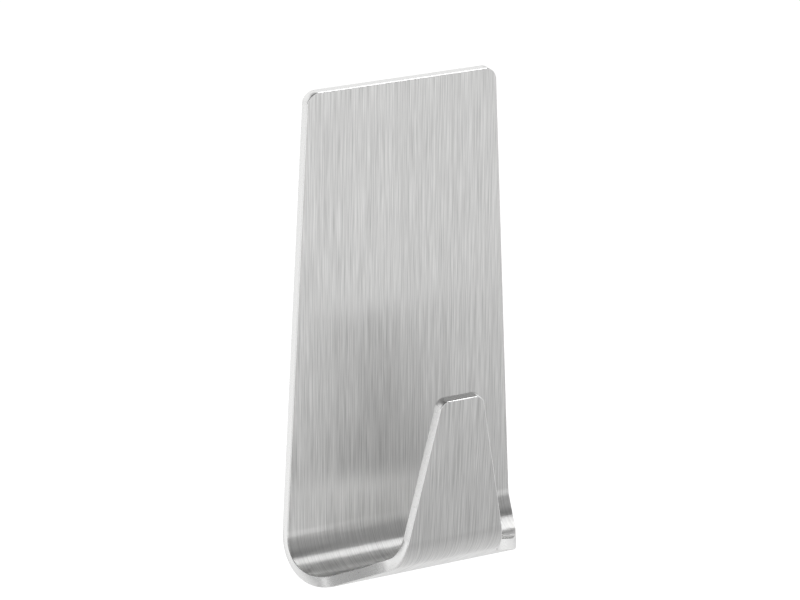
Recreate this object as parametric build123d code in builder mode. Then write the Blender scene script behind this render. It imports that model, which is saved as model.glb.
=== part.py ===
from build123d import *
from math import cos, radians, sin
import os

# Adhesive wall hook folded from one steel sheet, with the foam pad that holds it to the wall.
# Millimetres and degrees. +X is right, +Y points into the wall, +Z is up.
# The origin is the middle of the pad's wall side.

# Sheet and folds
sheet = 1.6                # thickness of the steel
bend_radius = 5.0          # inside radius of both bends
lower_bend = 123.0         # angle turned by the bend under the plate
ramp_length = 6.4          # flat run between the two bends
tongue_lean = 4.4          # how far the tongue leans away from the plate

# Flat blank, measured from the line where the lower bend starts
plate_height = 63.6
plate_width_top = 28.8
plate_width_low = 35.2
plate_corner = 1.8         # rounding of the two top corners
wing_reach = 16.9          # how far the rounded wings run past the bend line
wing_radius = 14.2
tongue_reach = 44.9        # bend line to tongue tip, along the middle of the sheet
tongue_width_root = 17.4   # width where the tongue leaves the wings
tongue_width_tip = 6.4
root_fillet = 7.0          # hollow rounding between wing and tongue
tip_corner = 1.5

# Foam pad behind the plate
pad_thickness = 1.0
pad_margin = 2.4           # bare steel left round the pad
pad_corner = 2.0
pad_gap_low = 3.0          # from the bend line up to the pad

# Stations taken round a bend when its tapering edge is drawn, and the slack for finding corners
stations = 14
near = 0.001

# Derived sizes
upper_bend = 180.0 - lower_bend - tongue_lean
middle_radius = bend_radius + sheet / 2
outer_radius = bend_radius + sheet
ramp_start = middle_radius * radians(lower_bend)
ramp_end = ramp_start + ramp_length
tongue_start = ramp_end + middle_radius * radians(upper_bend)
plate_taper = (plate_width_low - plate_width_top) / 2 / plate_height
tongue_taper = (tongue_width_root - tongue_width_tip) / 2 / (tongue_reach - wing_reach)
pad_height = plate_height - pad_gap_low - pad_margin
bend_z = -(pad_gap_low + pad_height / 2)
plate_back = -pad_thickness
wide = 2 * plate_width_low


def plate_half(above):
    """Half width of the plate this far above the bend line."""
    return plate_width_low / 2 - plate_taper * above


def tongue_half(past):
    """Half width of the tongue this far past the bend line."""
    return tongue_width_root / 2 - tongue_taper * (past - wing_reach)


# Flat pattern of the steel: tapered plate with rounded wings below, and the tongue hanging from it
with BuildSketch() as blank:
    with BuildLine():
        Polyline(
            (-plate_half(plate_height), plate_height),
            (plate_half(plate_height), plate_height),
            (plate_half(-wing_reach), -wing_reach),
            (-plate_half(-wing_reach), -wing_reach),
            close=True,
        )
    make_face()
    fillet(blank.vertices().group_by(Axis.Y)[-1], plate_corner)
    fillet(blank.vertices().group_by(Axis.Y)[0], wing_radius)
    with BuildLine():
        Polyline(
            (-tongue_half(0), 0),
            (tongue_half(0), 0),
            (tongue_half(tongue_reach), -tongue_reach),
            (-tongue_half(tongue_reach), -tongue_reach),
            close=True,
        )
    make_face()
    fillet(blank.vertices().group_by(Axis.Y)[0], tip_corner)
    roots = blank.vertices().filter_by(
        lambda v: v.Y > -tongue_start and abs(abs(v.X) - tongue_half(-v.Y)) < near
    )
    fillet(roots, root_fillet)


def half_width(past):
    """Half width of the blank this far past the bend line."""
    rule = Edge.make_line((0, -past), (wide, -past))
    return max(piece.bounding_box().max.X for piece in blank.face().intersect(rule))


def sheet_plane(turned, past, y, z):
    """Plane on the outer side of the sheet, laid so that the blank's own coordinates fall in place.

    (y, z) is the centre of the bend that ends, or starts, this far past the bend line.
    """
    out_y, out_z = cos(radians(turned)), -sin(radians(turned))
    up_y, up_z = sin(radians(turned)), cos(radians(turned))
    return Plane(
        origin=(0, y + outer_radius * out_y + past * up_y, z + outer_radius * out_z + past * up_z),
        x_dir=(1, 0, 0),
        z_dir=(0, -out_y, -out_z),
    )


def rule_plane(turned, y, z):
    """Plane through a bend's axis; its own Y runs outward through the sheet."""
    return Plane(origin=(0, y, z), x_dir=(1, 0, 0), z_dir=(0, sin(radians(turned)), cos(radians(turned))))


def bend(start, turn, past, y, z):
    """Stretch of the blank rolled round an axis, its edges square to the sheet all the way."""
    with BuildPart() as rolled:
        with BuildSketch(rule_plane(start, y, z)):
            with Locations((0, middle_radius)):
                Rectangle(wide, sheet)
        revolve(axis=Axis((0, y, z), (-1, 0, 0)), revolution_arc=turn)
        for step in range(stations + 1):
            turned = turn * step / stations
            width = 2 * half_width(past + middle_radius * radians(turned))
            with BuildSketch(rule_plane(start + turned, y, z)):
                with Locations((0, middle_radius)):
                    Rectangle(width, 3 * sheet)
        loft(mode=Mode.INTERSECT)
    return rolled.part


lower_y = plate_back - outer_radius
lower_z = bend_z
upper_y = lower_y - ramp_length * sin(radians(lower_bend))
upper_z = lower_z - ramp_length * cos(radians(lower_bend))

with BuildPart() as steel_hook:
    with BuildSketch(sheet_plane(0, 0, lower_y, lower_z)):
        add(blank.sketch)
        with Locations((0, plate_height / 2)):
            Rectangle(wide, plate_height, mode=Mode.INTERSECT)
    extrude(amount=sheet)
    add(bend(0, lower_bend, 0, lower_y, lower_z))
    with BuildSketch(sheet_plane(lower_bend, ramp_start, lower_y, lower_z)):
        add(blank.sketch)
        with Locations((0, -(ramp_start + ramp_end) / 2)):
            Rectangle(wide, ramp_length, mode=Mode.INTERSECT)
    extrude(amount=sheet)
    add(bend(lower_bend, upper_bend, ramp_end, upper_y, upper_z))
    with BuildSketch(sheet_plane(lower_bend + upper_bend, tongue_start, upper_y, upper_z)):
        add(blank.sketch)
        with Locations((0, -(tongue_start + tongue_reach) / 2)):
            Rectangle(wide, tongue_reach - tongue_start, mode=Mode.INTERSECT)
    extrude(amount=sheet)

with BuildPart() as adhesive_pad:
    with BuildSketch(Plane.XZ.offset(pad_thickness)):
        with BuildLine():
            Polyline(
                (-plate_half(pad_gap_low + pad_height) + pad_margin, pad_height / 2),
                (plate_half(pad_gap_low + pad_height) - pad_margin, pad_height / 2),
                (plate_half(pad_gap_low) - pad_margin, -pad_height / 2),
                (-plate_half(pad_gap_low) + pad_margin, -pad_height / 2),
                close=True,
            )
        make_face()
        fillet(vertices(), pad_corner)
    extrude(amount=-pad_thickness)

steel_hook.part.label = "steel_hook"
adhesive_pad.part.label = "adhesive_pad"

os.makedirs("parts", exist_ok=True)
export_step(steel_hook.part, "parts/steel_hook.step")
export_step(adhesive_pad.part, "parts/adhesive_pad.step")
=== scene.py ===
import math

import bmesh
import bpy
from bpy.props import FloatProperty, FloatVectorProperty, PointerProperty
from mathutils import Matrix, Vector
from mathutils.geometry import intersect_line_sphere_2d


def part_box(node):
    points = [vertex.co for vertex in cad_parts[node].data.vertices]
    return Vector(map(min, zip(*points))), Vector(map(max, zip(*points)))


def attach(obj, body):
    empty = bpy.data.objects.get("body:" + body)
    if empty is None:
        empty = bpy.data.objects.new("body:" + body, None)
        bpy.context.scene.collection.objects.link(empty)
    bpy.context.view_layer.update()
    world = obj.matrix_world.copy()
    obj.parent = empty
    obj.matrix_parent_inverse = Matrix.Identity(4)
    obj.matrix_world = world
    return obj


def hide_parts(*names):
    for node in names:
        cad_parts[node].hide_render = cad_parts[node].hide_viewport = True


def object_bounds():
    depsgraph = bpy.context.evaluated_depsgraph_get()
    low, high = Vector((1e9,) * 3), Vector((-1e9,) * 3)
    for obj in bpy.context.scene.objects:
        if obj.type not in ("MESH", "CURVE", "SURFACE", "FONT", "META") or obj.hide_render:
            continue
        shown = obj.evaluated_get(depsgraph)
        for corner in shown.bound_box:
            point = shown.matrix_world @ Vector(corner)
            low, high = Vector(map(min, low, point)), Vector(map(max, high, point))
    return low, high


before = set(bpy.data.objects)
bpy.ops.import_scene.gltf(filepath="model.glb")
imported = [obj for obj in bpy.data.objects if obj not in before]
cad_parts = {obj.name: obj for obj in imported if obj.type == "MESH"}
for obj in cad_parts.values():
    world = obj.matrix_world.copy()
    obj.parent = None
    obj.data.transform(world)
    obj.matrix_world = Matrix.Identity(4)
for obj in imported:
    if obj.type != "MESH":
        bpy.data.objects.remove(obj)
cad_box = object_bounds()
PAD_LOW, PAD_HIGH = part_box("adhesive_pad")

bl_info = {
    "name": "Adhesive Wall Hook",
    "version": (1, 0, 0),
    "blender": (4, 5, 0),
    "location": "View3D > Sidebar > Hook",
    "description": "Folds a brushed steel wall hook from its flat blank and lays its foam pad",
    "category": "Object",
}

# Blender works in metres; sizes are written in millimetres
MM = 0.001

# Slack for finding corners and scored lines, slack of a scored cut, and the shortest edge kept in the outline
NEAR = 0.001 * MM
CUT_SLACK = 0.0001 * MM
SHORT = 0.1 * MM

# Rounded edges: their segments, and the angle from which an edge is rounded
STEEL_EDGE_SEGMENTS = 3
STEEL_EDGE_ANGLE = math.radians(40.0)
FOAM_RIM_SEGMENTS = 4
FOAM_RIM_ANGLE = math.radians(60.0)

# How strongly large faces pull the shading of small ones beside them
FLAT_WEIGHT = 90

# Place of the cut edge's finish among the steel's materials
CUT_EDGE_SLOT = 1

# Streaks of the brushing: how wide across and how long along each kind is
FINE_STREAKS = (0.14 * MM, 9.0 * MM)
HAIR_STREAKS = (0.4 * MM, 30.0 * MM)
BROAD_STREAKS = (3.0 * MM, 60.0 * MM)
STREAK_DETAIL = 2.0
NOISE_ROUGHNESS = 0.6

# Share of the hair streaks in the grain, and of the broad ones in the steel's tone
HAIR_SHARE = 0.25
BROAD_SHARE = 0.1

# Stretch of a noise's values that is spread over a finish's range
MIDDLE_NOISE = (0.3, 0.7)
WIDE_NOISE = (0.25, 0.75)
PIT_NOISE = (0.2, 0.7)

# How far each finish swings in tone and roughness, and the strength and depth of its relief
STEEL_TONE_SWING = 0.29
STEEL_ROUGHNESS_SWING = 0.03
STEEL_RELIEF = (0.06, 0.02 * MM)
EDGE_TONE_SWING = 0.02
EDGE_ROUGHNESS_SWING = 0.04
EDGE_RELIEF = (0.01, 0.02 * MM)
FOAM_TONE = (0.93, 1.05)
FOAM_ROUGHNESS_SWING = 0.1
FOAM_RELIEF = (0.25, 0.1 * MM)

# Texture of the cut edges and the foam, in cells to the metre
EDGE_NOISE_SCALE = 2200.0
EDGE_NOISE_DETAIL = 3.0
FOAM_CELL_SCALE = 3200.0
FOAM_MOTTLE_SCALE = 260.0
FOAM_MOTTLE_DETAIL = 4.0
FOAM_MOTTLE_SHARE = 0.4

# Tint that holds back the shine of a cut edge at a flat angle
EDGE_SHINE = (0.6, 0.6, 0.6, 1.0)

# Floor: its sides, its roughness, and the direction across the painted shade that the steel mirrors in it
FLOOR_SIDES = 96
FLOOR_ROUGHNESS = 0.9
SHADE_SIDE = (0.3, 0.954, 0.0)

# Room: the direction of its light side, and how far along it and how high up the brightness changes
ROOM_SIDE = (0.45, 0.893, 0.0)
ROOM_FADE = (-0.4, 0.9)
CEILING_FADE = (0.5, 0.75)

# Camera: width of its sensor in millimetres, and the nearest and farthest it sees in metres
SENSOR_WIDTH = 36.0
NEAREST = 0.01
FARTHEST = 20.0

WHITE = (1.0, 1.0, 1.0, 1.0)


def length(name, description, millimetres):
    """A size of the object, kept in metres."""
    return FloatProperty(
        name=name,
        description=description,
        default=millimetres * MM,
        precision=5,
        subtype="DISTANCE",
        unit="LENGTH",
    )


def angle(name, description, degrees):
    """An angle, kept in radians."""
    return FloatProperty(
        name=name,
        description=description,
        default=math.radians(degrees),
        subtype="ANGLE",
        unit="ROTATION",
    )


def colour(name, description, value):
    """A colour of a finish."""
    return FloatVectorProperty(
        name=name,
        description=description,
        default=value,
        size=3,
        min=0.0,
        max=1.0,
        subtype="COLOR",
    )


def factor(name, description, value):
    """A share between 0 and 1."""
    return FloatProperty(
        name=name,
        description=description,
        default=value,
        min=0.0,
        max=1.0,
        subtype="FACTOR",
    )


def place(name, description, millimetres):
    """A point in space, kept in metres."""
    return FloatVectorProperty(
        name=name,
        description=description,
        default=[value * MM for value in millimetres],
        size=3,
        precision=5,
        subtype="TRANSLATION",
        unit="LENGTH",
    )


def level(name, description, value):
    """A brightness, where 1 is white."""
    return FloatProperty(name=name, description=description, default=value, min=0.0)


def power(name, description, watts):
    """The power of a lamp."""
    return FloatProperty(
        name=name,
        description=description,
        default=watts,
        min=0.0,
        subtype="POWER",
        unit="POWER",
    )


class SteelSettings(bpy.types.PropertyGroup):
    """Sizes of the steel's flat blank, its folds and its brushed finish."""

    sheet: length("Sheet", "Thickness of the steel", 1.6)
    bend_radius: length("Bend radius", "Inside radius of both bends", 5.0)
    lower_bend: angle("Lower bend", "Angle turned by the bend under the plate", 123.0)
    ramp_length: length("Ramp", "Flat run between the two bends", 6.4)
    tongue_lean: angle("Tongue lean", "How far the tongue leans away from the plate", 4.4)
    plate_height: length("Plate height", "Plate above the line where the lower bend starts", 63.6)
    plate_width_top: length("Plate top", "Width of the plate at its top", 28.8)
    plate_width_low: length("Plate foot", "Width of the plate at the bend line", 35.2)
    plate_corner: length("Plate corner", "Rounding of the two top corners", 1.8)
    wing_reach: length("Wing reach", "How far the rounded wings run past the bend line", 16.9)
    wing_radius: length("Wing radius", "Rounding of the wings", 14.2)
    tongue_reach: length("Tongue reach", "Bend line to tongue tip along the sheet", 44.9)
    tongue_width_root: length("Tongue root", "Width where the tongue leaves the wings", 17.4)
    tongue_width_tip: length("Tongue tip", "Width of the tongue at its tip", 6.4)
    root_fillet: length("Root fillet", "Hollow rounding between wing and tongue", 7.0)
    tip_corner: length("Tip corner", "Rounding of the tongue's tip", 1.5)
    edge_round: length("Edge rounding", "Small rounding left on every cut edge", 0.12)
    fold_step: angle("Fold step", "Angle between the lines of a bend", 3.0)
    corner_step: angle("Corner step", "Angle between the points of a rounded corner", 4.0)
    steel_colour: colour("Steel", "Colour of the brushed faces", (0.755, 0.754, 0.748))
    edge_colour: colour("Cut edge", "Colour of the cut edges", (0.94, 0.94, 0.935))
    steel_roughness: factor("Brushed roughness", "Roughness of the brushed faces", 0.41)
    edge_roughness: factor("Edge roughness", "Roughness of the cut edges", 0.26)
    brush_stretch: factor("Brush stretch", "How far the brushing spreads a reflection sideways", 0.92)


class PadSettings(bpy.types.PropertyGroup):
    """Sizes and finish of the foam pad behind the plate."""

    margin: length("Margin", "Bare steel left round the pad", 2.4)
    gap_low: length("Gap", "From the bend line up to the pad", 3.0)
    corner: length("Corner", "Rounding of the pad's corners", 2.0)
    edge_round: length("Edge rounding", "Soft rounding of the foam's rim", 0.22)
    foam_colour: colour("Foam", "Colour of the foam", (0.83, 0.83, 0.81))
    foam_roughness: factor("Foam roughness", "Roughness of the foam", 0.75)


class StageSettings(bpy.types.PropertyGroup):
    """Floor, room, lamp and camera."""

    floor_radius: length("Floor radius", "Radius of the plain floor", 3500.0)
    floor_drop: length("Floor drop", "Height of the hook over the floor", 120.0)
    floor_colour: colour("Floor", "Colour of the floor", (0.80, 0.80, 0.80))
    floor_white: factor("Floor white", "Plain white added to the floor that the camera sees", 0.72)
    floor_glow: factor("Floor glow", "Plain white added to the floor that the steel mirrors", 0.65)
    # Painted shade in the steel's reflections: the mirrored floor white fades out along a line in front of
    # the hook
    shade_front: length("Shade", "How far in front of the hook that mirrored white is gone", 170.0)
    shade_near: length("Shade fade back", "How far behind that line it is back in full", 360.0)
    shade_far: length("Shade fade front", "How far in front of that line it is back in full", 160.0)
    aim: place("Aim", "Point that the camera looks at", (0.6465, -0.9706, -1.0976))
    distance: length("Distance", "Camera to aim point", 541.9)
    azimuth: angle("Azimuth", "Turn of the camera round the hook", -27.0906)
    elevation: angle("Elevation", "Height of the camera over the horizon", 20.7656)
    roll: angle("Roll", "Tilt of the camera about its own axis", -0.4493)
    lens: FloatProperty(
        name="Lens",
        description="Focal length in millimetres",
        default=175.03,
        min=1.0,
        subtype="DISTANCE_CAMERA",
        unit="CAMERA",
    )
    top_power: power("Top lamp", "Power of the soft lamp overhead", 2.0)
    top_place: place("Top place", "Where the top lamp hangs", (310.0, 20.0, 640.0))
    top_width: length("Top width", "Side of the top lamp from left to right", 600.0)
    top_depth: length("Top depth", "Side of the top lamp from front to back", 260.0)
    room_dim: level("Room dim", "Brightness of the room in front of the hook at the left", 0.40)
    room_light: level("Room light", "Brightness of the room behind the hook at the right", 1.15)
    room_ceiling: factor("Room ceiling", "Share of that brightness left at the ceiling", 0.15)


def new_piece(name, mesh, materials):
    """Object at the origin with its place in its mesh."""
    piece = bpy.data.objects.new(name, mesh)
    bpy.context.scene.collection.objects.link(piece)
    for material in materials:
        mesh.materials.append(material)
    return piece


def flat_shading(piece):
    """Keep the large faces flat and let the rounded edges carry the turn."""
    normals = piece.modifiers.new("normals", "WEIGHTED_NORMAL")
    normals.weight = FLAT_WEIGHT


def node(tree, kind, **values):
    """Shader node with its plain settings and socket values set."""
    made = tree.nodes.new(kind)
    for key, value in values.items():
        if key in made.inputs:
            made.inputs[key].default_value = value
        else:
            setattr(made, key, value)
    return made


def new_material(name):
    """Node material with its tree and its Principled shader."""
    material = bpy.data.materials.new(name)
    material.use_nodes = True
    tree = material.node_tree
    return material, tree, tree.nodes["Principled BSDF"]


def streaks(tree, source, size):
    """Noise drawn out along the brushing, of a size across and along it."""
    width, run = size
    stretch = node(tree, "ShaderNodeMapping", Scale=(1.0 / width, 1.0 / run, 1.0))
    noise = node(tree, "ShaderNodeTexNoise", Scale=1.0, Detail=STREAK_DETAIL, Roughness=NOISE_ROUGHNESS)
    tree.links.new(source, stretch.inputs["Vector"])
    tree.links.new(stretch.outputs["Vector"], noise.inputs["Vector"])
    return noise.outputs["Fac"]


def mixed(tree, first, second, share):
    """Two values blended, with this share of the second."""
    blend = node(tree, "ShaderNodeMix", data_type="FLOAT")
    blend.inputs["Factor"].default_value = share
    tree.links.new(first, blend.inputs["A"])
    tree.links.new(second, blend.inputs["B"])
    return blend.outputs["Result"]


def around(middle, swing):
    """Range that reaches equally far to both sides of a middle value."""
    return middle - swing, middle + swing


def spread(tree, value, source, target):
    """A value moved from one range to another."""
    ranged = node(tree, "ShaderNodeMapRange")
    for socket, number in zip(("From Min", "From Max", "To Min", "To Max"), (*source, *target)):
        ranged.inputs[socket].default_value = number
    tree.links.new(value, ranged.inputs["Value"])
    return ranged.outputs["Result"]


def maths(tree, operation, first, second):
    """A value worked out from another value and a value or number."""
    worked = node(tree, "ShaderNodeMath", operation=operation)
    tree.links.new(first, worked.inputs[0])
    if isinstance(second, float):
        worked.inputs[1].default_value = second
    else:
        tree.links.new(second, worked.inputs[1])
    return worked.outputs[0]


def along(tree, vector, direction):
    """How far a vector reaches in a direction."""
    reach = node(tree, "ShaderNodeVectorMath", operation="DOT_PRODUCT")
    reach.inputs[1].default_value = direction
    tree.links.new(vector, reach.inputs[0])
    return reach.outputs["Value"]


def tinted(tree, value, colour_value):
    """A colour made lighter and darker by a value round 1."""
    tint = node(tree, "ShaderNodeVectorMath", operation="SCALE")
    tint.inputs[0].default_value = colour_value
    tree.links.new(value, tint.inputs["Scale"])
    return tint.outputs["Vector"]


def raise_relief(tree, shader, height, relief):
    """Give a shader the fine relief of a value, of a strength and depth."""
    strength, depth = relief
    bump = node(tree, "ShaderNodeBump", Strength=strength, Distance=depth)
    tree.links.new(height, bump.inputs["Height"])
    tree.links.new(bump.outputs["Normal"], shader.inputs["Normal"])


def brushed_steel(settings):
    """Steel brushed from top to bottom; the blank's own map carries the grain round the folds."""
    material, tree, shader = new_material("brushed_steel")
    blank_map = node(tree, "ShaderNodeUVMap", uv_map="blank").outputs["UV"]
    across = node(tree, "ShaderNodeTangent", direction_type="UV_MAP", uv_map="blank")
    fine = streaks(tree, blank_map, FINE_STREAKS)
    hair = streaks(tree, blank_map, HAIR_STREAKS)
    broad = streaks(tree, blank_map, BROAD_STREAKS)
    grain = mixed(tree, fine, hair, HAIR_SHARE)
    tone = spread(tree, mixed(tree, grain, broad, BROAD_SHARE), MIDDLE_NOISE, around(1.0, STEEL_TONE_SWING))
    rough = spread(tree, grain, WIDE_NOISE, around(settings.steel_roughness, STEEL_ROUGHNESS_SWING))
    tree.links.new(tinted(tree, tone, settings.steel_colour), shader.inputs["Base Color"])
    tree.links.new(rough, shader.inputs["Roughness"])
    tree.links.new(across.outputs["Tangent"], shader.inputs["Tangent"])
    raise_relief(tree, shader, grain, STEEL_RELIEF)
    shader.inputs["Metallic"].default_value = 1.0
    shader.inputs["Anisotropic"].default_value = settings.brush_stretch
    return material


def cut_edge(settings):
    """Cut edge of the sheet: lighter than the faces, with a fine tumbled texture."""
    material, tree, shader = new_material("cut_edge")
    place_in = node(tree, "ShaderNodeTexCoord").outputs["Object"]
    noise = node(
        tree,
        "ShaderNodeTexNoise",
        Scale=EDGE_NOISE_SCALE,
        Detail=EDGE_NOISE_DETAIL,
        Roughness=NOISE_ROUGHNESS,
    )
    tree.links.new(place_in, noise.inputs["Vector"])
    tumbled = noise.outputs["Fac"]
    tone = spread(tree, tumbled, WIDE_NOISE, around(1.0, EDGE_TONE_SWING))
    rough = spread(tree, tumbled, WIDE_NOISE, around(settings.edge_roughness, EDGE_ROUGHNESS_SWING))
    tree.links.new(tinted(tree, tone, settings.edge_colour), shader.inputs["Base Color"])
    tree.links.new(rough, shader.inputs["Roughness"])
    raise_relief(tree, shader, tumbled, EDGE_RELIEF)
    shader.inputs["Metallic"].default_value = 1.0
    shader.inputs["Specular Tint"].default_value = EDGE_SHINE
    return material


def pad_foam(settings):
    """Closed-cell foam with a fine pitted skin."""
    material, tree, shader = new_material("pad_foam")
    place_in = node(tree, "ShaderNodeTexCoord").outputs["Object"]
    cells = node(tree, "ShaderNodeTexVoronoi", Scale=FOAM_CELL_SCALE)
    mottle = node(tree, "ShaderNodeTexNoise", Scale=FOAM_MOTTLE_SCALE, Detail=FOAM_MOTTLE_DETAIL)
    tree.links.new(place_in, cells.inputs["Vector"])
    tree.links.new(place_in, mottle.inputs["Vector"])
    pits = mixed(tree, cells.outputs["Distance"], mottle.outputs["Fac"], FOAM_MOTTLE_SHARE)
    tone = spread(tree, pits, PIT_NOISE, FOAM_TONE)
    foam_range = around(settings.foam_roughness, FOAM_ROUGHNESS_SWING)
    rough = spread(tree, mottle.outputs["Fac"], MIDDLE_NOISE, foam_range)
    tree.links.new(tinted(tree, tone, settings.foam_colour), shader.inputs["Base Color"])
    tree.links.new(rough, shader.inputs["Roughness"])
    raise_relief(tree, shader, pits, FOAM_RELIEF)
    return material


def plate_taper(settings):
    """How far each side of the plate comes in over its height."""
    return (settings.plate_width_low - settings.plate_width_top) / 2 / settings.plate_height


def round_pair(bm, pair, radius, step):
    """Round two like corners of a flat blank to a radius."""
    corner = pair[0]
    sides = [edge.other_vert(corner).co - corner.co for edge in corner.link_edges]
    opening = sides[0].angle(sides[1])
    bmesh.ops.bevel(
        bm,
        geom=pair,
        offset=radius / math.tan(opening / 2),
        offset_type="OFFSET",
        segments=math.ceil((math.pi - opening) / step),
        profile=0.5,
        affect="VERTICES",
        material=-1,
    )


def arc(bm, vert, centre, turn, step):
    """Sweep a point of the outline round a centre, seen from the front, and return where it ends."""
    swept = bmesh.ops.spin(
        bm,
        geom=[vert],
        cent=centre,
        axis=(0.0, 1.0, 0.0),
        angle=turn,
        steps=math.ceil(abs(turn) / step),
    )
    return next(item for item in swept["geom_last"] if isinstance(item, bmesh.types.BMVert))


def flat_blank(settings, middle, bend_z):
    """Flat pattern of the steel, on the middle of the sheet, with its corners rounded."""
    taper = plate_taper(settings)
    tongue_run = settings.tongue_reach - settings.wing_reach
    tongue_taper = (settings.tongue_width_root - settings.tongue_width_tip) / 2 / tongue_run
    plate_out = Vector((1.0, taper)).normalized()
    tongue_out = Vector((1.0, -tongue_taper)).normalized()

    wing_up = settings.wing_radius - settings.wing_reach
    plate_edge = settings.plate_width_low / 2 - taper * wing_up
    wing = Vector((plate_edge - settings.wing_radius / plate_out.x, wing_up))
    root_edge = Vector((settings.tongue_width_root / 2, -settings.wing_reach))
    tip_edge = Vector((settings.tongue_width_tip / 2, -settings.tongue_reach))
    clear = tongue_out * settings.root_fillet
    apart = settings.wing_radius + settings.root_fillet
    crossings = intersect_line_sphere_2d(root_edge + clear, tip_edge + clear, wing, apart, False)
    hollow = min(crossings, key=lambda point: point.y)

    def on_sheet(point):
        """Place on the sheet of a point measured from the middle of the bend line."""
        return Vector((point.x, middle, bend_z + point.y))

    bm = bmesh.new()
    top = bm.verts.new(on_sheet(Vector((settings.plate_width_top / 2, settings.plate_height))))
    shoulder = bm.verts.new(on_sheet(wing + plate_out * settings.wing_radius))
    bm.edges.new((top, shoulder))
    wing_turn = plate_out.angle(hollow - wing)
    low = arc(bm, shoulder, on_sheet(wing), wing_turn, settings.corner_step)
    hollow_turn = (wing - hollow).angle(-tongue_out)
    root = arc(bm, low, on_sheet(hollow), -hollow_turn, settings.corner_step)
    tip = bm.verts.new(on_sheet(tip_edge))
    bm.edges.new((root, tip))
    bmesh.ops.mirror(bm, geom=bm.verts[:] + bm.edges[:], axis="X", merge_dist=-1.0)
    tops = [vert for vert in bm.verts if vert.co.z > top.co.z - NEAR]
    tips = [vert for vert in bm.verts if vert.co.z < tip.co.z + NEAR]
    bm.edges.new(tops)
    bm.edges.new(tips)
    bmesh.ops.contextual_create(bm, geom=bm.edges[:])
    round_pair(bm, tops, settings.plate_corner, settings.corner_step)
    round_pair(bm, tips, settings.tip_corner, settings.corner_step)
    return bm


def steel_bends(settings):
    """Both bends: where each starts past the bend line, its reach along the sheet and its angle."""
    middle_radius = settings.bend_radius + settings.sheet / 2
    lower_reach = middle_radius * settings.lower_bend
    upper_bend = math.pi - settings.lower_bend - settings.tongue_lean
    upper_start = lower_reach + settings.ramp_length
    return (0.0, lower_reach, settings.lower_bend), (upper_start, middle_radius * upper_bend, upper_bend)


def bend_lines(start, reach, turn, step):
    """Lines of a bend: how far past the bend line each one is, and the angle it turns."""
    count = math.ceil(turn / step)
    share = turn / count
    inner = [(start + reach * line / count, share) for line in range(1, count)]
    return [(start, share / 2), *inner, (start + reach, share / 2)]


def map_blank(bm):
    """Map the flat blank as it lies, so that the grain keeps its place when it is folded."""
    blank_map = bm.loops.layers.uv.new("blank")
    for face in bm.faces:
        for loop in face.loops:
            loop[blank_map].uv = (loop.vert.co.x, loop.vert.co.z)


def score(bm, lines, middle, bend_z, bends):
    """Score the fold lines across the blank and take out the outline's points that fall between them."""
    for past, _ in lines:
        bmesh.ops.bisect_plane(
            bm,
            geom=bm.verts[:] + bm.edges[:] + bm.faces[:],
            dist=CUT_SLACK,
            plane_co=(0.0, middle, bend_z - past),
            plane_no=(0.0, 0.0, 1.0),
        )
    spare = []
    for vert in bm.verts:
        past = bend_z - vert.co.z
        in_bend = any(start - NEAR < past < start + reach + NEAR for start, reach, _ in bends)
        crowded = min(edge.calc_length() for edge in vert.link_edges) < SHORT
        if len(vert.link_edges) == 2 and (in_bend or crowded):
            spare.append(vert)
    bmesh.ops.dissolve_verts(bm, verts=spare)


def fold(bm, lines, middle, bend_z):
    """Turn what lies past each scored line, from the tip back to the plate."""
    reach = {vert: bend_z - vert.co.z for vert in bm.verts}
    for past, turn in reversed(lines):
        bmesh.ops.rotate(
            bm,
            cent=(0.0, middle, bend_z - past),
            matrix=Matrix.Rotation(-turn, 3, "X"),
            verts=[vert for vert in bm.verts if reach[vert] > past + NEAR],
        )


def smooth_mesh(bm, name):
    """Turn a finished bmesh into a smooth mesh and let go of it."""
    for face in bm.faces:
        face.smooth = True
    mesh = bpy.data.meshes.new(name)
    bm.to_mesh(mesh)
    bm.free()
    return mesh


class FoldSteelHook(bpy.types.Operator):
    """Cut the steel's flat blank, fold it and round its edges"""

    bl_idname = "adhesive_hook.fold_steel"
    bl_label = "Fold Steel Hook"

    def execute(self, context):
        steel = context.scene.hook_steel
        pad = context.scene.hook_pad
        middle = PAD_LOW.y - steel.sheet / 2
        bend_z = PAD_LOW.z - pad.gap_low
        bends = steel_bends(steel)
        lines = [line for bend in bends for line in bend_lines(*bend, steel.fold_step)]

        bm = flat_blank(steel, middle, bend_z)
        map_blank(bm)
        score(bm, lines, middle, bend_z, bends)
        fold(bm, lines, middle, bend_z)
        bmesh.ops.recalc_face_normals(bm, faces=bm.faces[:])
        mesh = smooth_mesh(bm, "folded_hook")
        piece = new_piece("folded_hook", mesh, [brushed_steel(steel), cut_edge(steel)])

        wall = piece.modifiers.new("sheet", "SOLIDIFY")
        wall.thickness = steel.sheet
        wall.offset = 0.0
        wall.use_even_offset = True
        wall.material_offset_rim = CUT_EDGE_SLOT
        edge = piece.modifiers.new("edges", "BEVEL")
        edge.width = steel.edge_round
        edge.segments = STEEL_EDGE_SEGMENTS
        edge.material = CUT_EDGE_SLOT
        edge.limit_method = "ANGLE"
        edge.angle_limit = STEEL_EDGE_ANGLE
        edge.use_clamp_overlap = False
        flat_shading(piece)

        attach(piece, "root")
        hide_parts("steel_hook")
        return {"FINISHED"}


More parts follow.
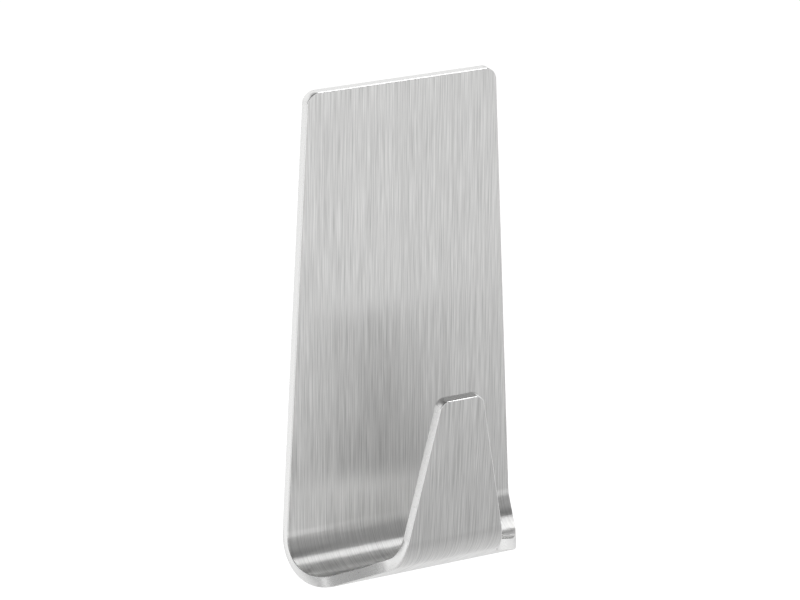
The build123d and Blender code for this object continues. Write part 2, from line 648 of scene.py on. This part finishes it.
class LayFoamPad(bpy.types.Operator):
    """Cut the foam pad and lay it on the back of the plate"""

    bl_idname = "adhesive_hook.lay_pad"
    bl_label = "Lay Foam Pad"

    def execute(self, context):
        pad = context.scene.hook_pad
        steel = context.scene.hook_steel
        taper = plate_taper(steel)
        half_low = steel.plate_width_low / 2 - taper * pad.gap_low - pad.margin
        half_top = half_low - taper * (PAD_HIGH.z - PAD_LOW.z)
        corners = (
            (-half_low, PAD_LOW.z),
            (half_low, PAD_LOW.z),
            (half_top, PAD_HIGH.z),
            (-half_top, PAD_HIGH.z),
        )

        bm = bmesh.new()
        rim = [bm.verts.new((x, PAD_LOW.y, z)) for x, z in corners]
        bmesh.ops.contextual_create(bm, geom=rim)
        round_pair(bm, rim[:2], pad.corner, steel.corner_step)
        round_pair(bm, rim[2:], pad.corner, steel.corner_step)
        raised = bmesh.ops.extrude_face_region(bm, geom=bm.faces[:])
        moved = [item for item in raised["geom"] if isinstance(item, bmesh.types.BMVert)]
        bmesh.ops.translate(bm, vec=(0.0, PAD_HIGH.y - PAD_LOW.y, 0.0), verts=moved)
        bmesh.ops.recalc_face_normals(bm, faces=bm.faces[:])
        sharp = [edge for edge in bm.edges if edge.calc_face_angle() > FOAM_RIM_ANGLE]
        bmesh.ops.bevel(
            bm,
            geom=sharp,
            offset=pad.edge_round,
            offset_type="OFFSET",
            segments=FOAM_RIM_SEGMENTS,
            profile=0.5,
            affect="EDGES",
            material=-1,
        )
        piece = new_piece("foam_pad", smooth_mesh(bm, "foam_pad"), [pad_foam(pad)])
        flat_shading(piece)

        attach(piece, "root")
        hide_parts("adhesive_pad")
        return {"FINISHED"}


def floor_material(stage):
    """Pale floor that keeps the shadow, with plain white added.

    The camera sees the white all over. In the steel's reflections it fades out along a line in front of
    the hook: painted shade in what the steel mirrors, which no thing casts.
    """
    material, tree, shader = new_material("pale_floor")
    shader.inputs["Base Color"].default_value = (*stage.floor_colour, 1.0)
    shader.inputs["Roughness"].default_value = FLOOR_ROUGHNESS
    shader.inputs["Specular IOR Level"].default_value = 0.0
    place_in = node(tree, "ShaderNodeTexCoord").outputs["Object"]
    # Painted shade: the white that the steel mirrors fades out in a band in front of the hook
    past = maths(tree, "ADD", along(tree, place_in, SHADE_SIDE), stage.shade_front)
    behind = spread(tree, past, (0.0, stage.shade_near), (0.0, stage.floor_glow))
    ahead = spread(tree, past, (-stage.shade_far, 0.0), (stage.floor_glow, 0.0))
    shaded = maths(tree, "ADD", behind, ahead)
    seen = node(tree, "ShaderNodeLightPath").outputs
    mirrored = maths(tree, "MAXIMUM", seen["Is Glossy Ray"], seen["Is Transmission Ray"])
    direct = maths(tree, "MULTIPLY", seen["Is Camera Ray"], stage.floor_white)
    glow = maths(tree, "ADD", direct, maths(tree, "MULTIPLY", mirrored, shaded))
    shader.inputs["Emission Color"].default_value = WHITE
    tree.links.new(glow, shader.inputs["Emission Strength"])
    return material


def studio_room(stage):
    """World: a plain room, dimmer in front of the hook and at its ceiling, and light behind the hook."""
    world = bpy.data.worlds.new("studio_room")
    world.use_nodes = True
    tree = world.node_tree
    backdrop = tree.nodes["Background"]
    way = node(tree, "ShaderNodeTexCoord").outputs["Generated"]
    light = spread(tree, along(tree, way, ROOM_SIDE), ROOM_FADE, (stage.room_dim, stage.room_light))
    parts = node(tree, "ShaderNodeSeparateXYZ")
    tree.links.new(way, parts.inputs["Vector"])
    ceiling = spread(tree, parts.outputs["Z"], CEILING_FADE, (1.0, stage.room_ceiling))
    tree.links.new(maths(tree, "MULTIPLY", light, ceiling), backdrop.inputs["Strength"])
    backdrop.inputs["Color"].default_value = WHITE
    return world


def soft_lamp(name, where, aim, width, depth, watts):
    """Soft lamp that faces a point."""
    data = bpy.data.lights.new(name, "AREA")
    data.shape = "RECTANGLE"
    data.size = width
    data.size_y = depth
    data.energy = watts
    lamp = bpy.data.objects.new(name, data)
    lamp.location = where
    lamp.rotation_euler = (Vector(aim) - Vector(where)).to_track_quat("-Z", "Y").to_euler()
    lamp.visible_camera = False
    bpy.context.scene.collection.objects.link(lamp)


def photo_camera(stage):
    """Camera at the photograph's angle."""
    back = Vector(
        (
            math.sin(stage.azimuth) * math.cos(stage.elevation),
            -math.cos(stage.azimuth) * math.cos(stage.elevation),
            math.sin(stage.elevation),
        )
    )
    data = bpy.data.cameras.new("camera")
    data.lens = stage.lens
    data.sensor_width = SENSOR_WIDTH
    data.clip_start = NEAREST
    data.clip_end = FARTHEST
    camera = bpy.data.objects.new("camera", data)
    turn = back.to_track_quat("Z", "Y").to_matrix() @ Matrix.Rotation(-stage.roll, 3, "Z")
    camera.matrix_world = Matrix.Translation(Vector(stage.aim) + back * stage.distance) @ turn.to_4x4()
    bpy.context.scene.collection.objects.link(camera)
    return camera


class SetStage(bpy.types.Operator):
    """Lay the floor, hang the lamp and stand the camera"""

    bl_idname = "adhesive_hook.set_stage"
    bl_label = "Set Stage"

    def execute(self, context):
        scene = context.scene
        stage = scene.hook_stage
        bm = bmesh.new()
        bmesh.ops.create_circle(
            bm,
            cap_ends=True,
            radius=stage.floor_radius,
            segments=FLOOR_SIDES,
            matrix=Matrix.Translation((0.0, 0.0, cad_box[0].z - stage.floor_drop)),
        )
        mesh = bpy.data.meshes.new("floor")
        bm.to_mesh(mesh)
        bm.free()
        new_piece("floor", mesh, [floor_material(stage)])

        scene.world = studio_room(stage)
        soft_lamp("top_lamp", stage.top_place, stage.aim, stage.top_width, stage.top_depth, stage.top_power)
        scene.camera = photo_camera(stage)
        scene.view_settings.view_transform = "Standard"
        return {"FINISHED"}


class HookPanel(bpy.types.Panel):
    """Lists the pieces of the hook and their sizes"""

    bl_idname = "VIEW3D_PT_adhesive_hook"
    bl_label = "Adhesive Wall Hook"
    bl_space_type = "VIEW_3D"
    bl_region_type = "UI"
    bl_category = "Hook"

    def draw(self, context):
        layout = self.layout
        for operator, settings in (
            (FoldSteelHook, context.scene.hook_steel),
            (LayFoamPad, context.scene.hook_pad),
            (SetStage, context.scene.hook_stage),
        ):
            box = layout.box()
            box.operator(operator.bl_idname)
            for key in settings.__annotations__:
                box.prop(settings, key)


CLASSES = (SteelSettings, PadSettings, StageSettings, FoldSteelHook, LayFoamPad, SetStage, HookPanel)


def register():
    """Register the classes and hang the settings on the scene."""
    for item in CLASSES:
        bpy.utils.register_class(item)
    bpy.types.Scene.hook_steel = PointerProperty(type=SteelSettings)
    bpy.types.Scene.hook_pad = PointerProperty(type=PadSettings)
    bpy.types.Scene.hook_stage = PointerProperty(type=StageSettings)


def unregister():
    """Take the settings off the scene and unregister the classes."""
    del bpy.types.Scene.hook_stage
    del bpy.types.Scene.hook_pad
    del bpy.types.Scene.hook_steel
    for item in reversed(CLASSES):
        bpy.utils.unregister_class(item)


def main():
    """Build the stage and both pieces."""
    register()
    bpy.ops.adhesive_hook.set_stage()
    bpy.ops.adhesive_hook.fold_steel()
    bpy.ops.adhesive_hook.lay_pad()


if __name__ == "__main__":
    main()
